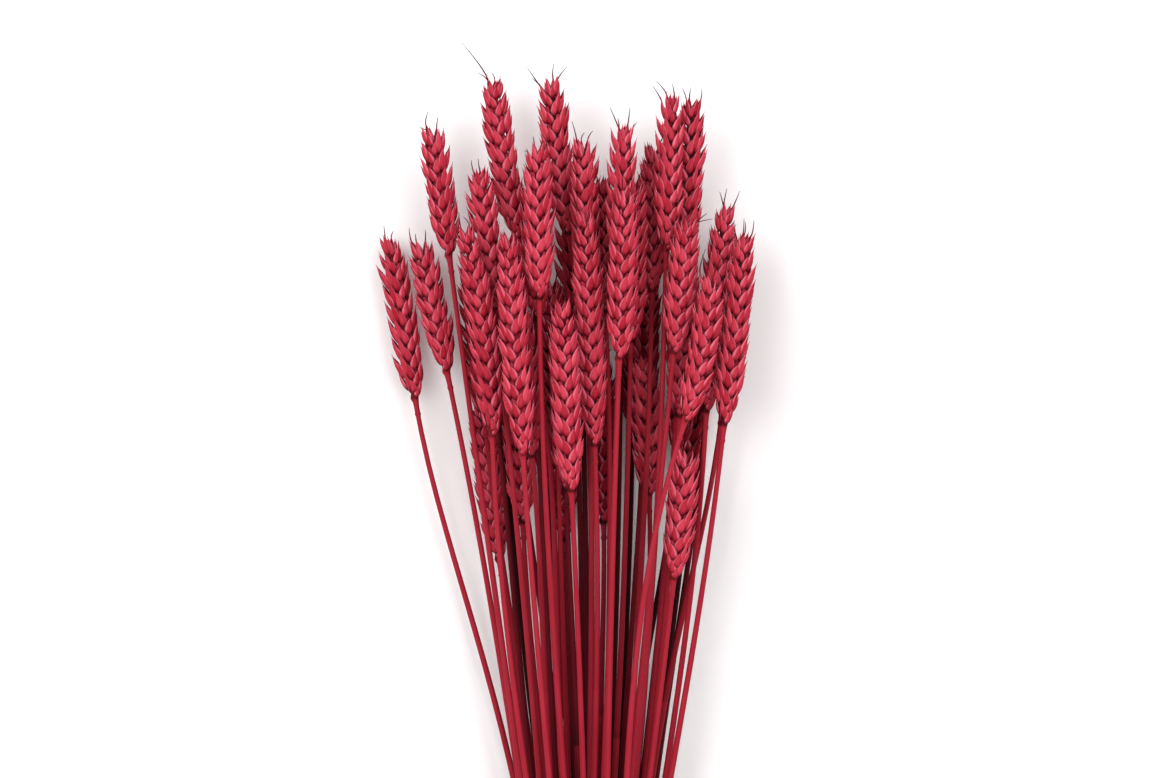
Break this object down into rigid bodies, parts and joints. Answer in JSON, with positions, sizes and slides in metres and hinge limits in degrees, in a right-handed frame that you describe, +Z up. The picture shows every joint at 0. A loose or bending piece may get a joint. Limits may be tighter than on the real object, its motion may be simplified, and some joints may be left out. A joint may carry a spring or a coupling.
{
  "type": "bundle of dried wheat",
  "caption": "Bunch of dried, crimson-dyed wheat: slender straw stalks with husked ears, tied at the waist with plain twine and lying down.",
  "frame": {"origin": "on the surface, under the middle of the whole bunch's box", "axes": "+Y along the bunch from the cut ends to the ears, +Z up from the surface, +X to the right seen from above with the ears away"},
  "size_m": [0.171, 0.6072, 0.0891],
  "materials": {
    "dyed_straw": "matte dyed straw and husk, slightly silky along the stems",
    "twine": "plain twisted natural twine"
  },
  "bodies": {
    "root": {"tie": "twine", "wheat_stalk_01": "dyed_straw", "wheat_stalk_02": "dyed_straw", "wheat_stalk_03": "dyed_straw", "wheat_stalk_04": "dyed_straw", "wheat_stalk_05": "dyed_straw", "wheat_stalk_06": "dyed_straw", "wheat_stalk_07": "dyed_straw", "wheat_stalk_08": "dyed_straw", "wheat_stalk_09": "dyed_straw", "wheat_stalk_10": "dyed_straw", "wheat_stalk_11": "dyed_straw", "wheat_stalk_12": "dyed_straw", "wheat_stalk_13": "dyed_straw", "wheat_stalk_14": "dyed_straw", "wheat_stalk_15": "dyed_straw", "wheat_stalk_16": "dyed_straw", "wheat_stalk_17": "dyed_straw", "wheat_stalk_18": "dyed_straw", "wheat_stalk_19": "dyed_straw", "wheat_stalk_20": "dyed_straw", "wheat_stalk_21": "dyed_straw", "wheat_stalk_22": "dyed_straw", "wheat_stalk_23": "dyed_straw", "wheat_stalk_24": "dyed_straw", "wheat_stalk_25": "dyed_straw", "wheat_stalk_26": "dyed_straw", "wheat_stalk_27": "dyed_straw", "wheat_stalk_28": "dyed_straw", "wheat_stalk_29": "dyed_straw", "wheat_stalk_30": "dyed_straw", "wheat_stalk_31": "dyed_straw", "wheat_stalk_32": "dyed_straw", "wheat_stalk_33": "dyed_straw", "wheat_stalk_34": "dyed_straw", "wheat_stalk_35": "dyed_straw", "wheat_stalk_36": "dyed_straw", "wheat_stalk_37": "dyed_straw", "wheat_stalk_38": "dyed_straw", "wheat_stalk_39": "dyed_straw", "wheat_stalk_40": "dyed_straw", "wheat_stalk_41": "dyed_straw", "wheat_stalk_42": "dyed_straw", "wheat_stalk_43": "dyed_straw", "wheat_stalk_44": "dyed_straw", "wheat_stalk_45": "dyed_straw", "wheat_stalk_46": "dyed_straw", "wheat_stalk_47": "dyed_straw", "wheat_stalk_48": "dyed_straw", "wheat_stalk_49": "dyed_straw"}
  },
  "joints": []
}
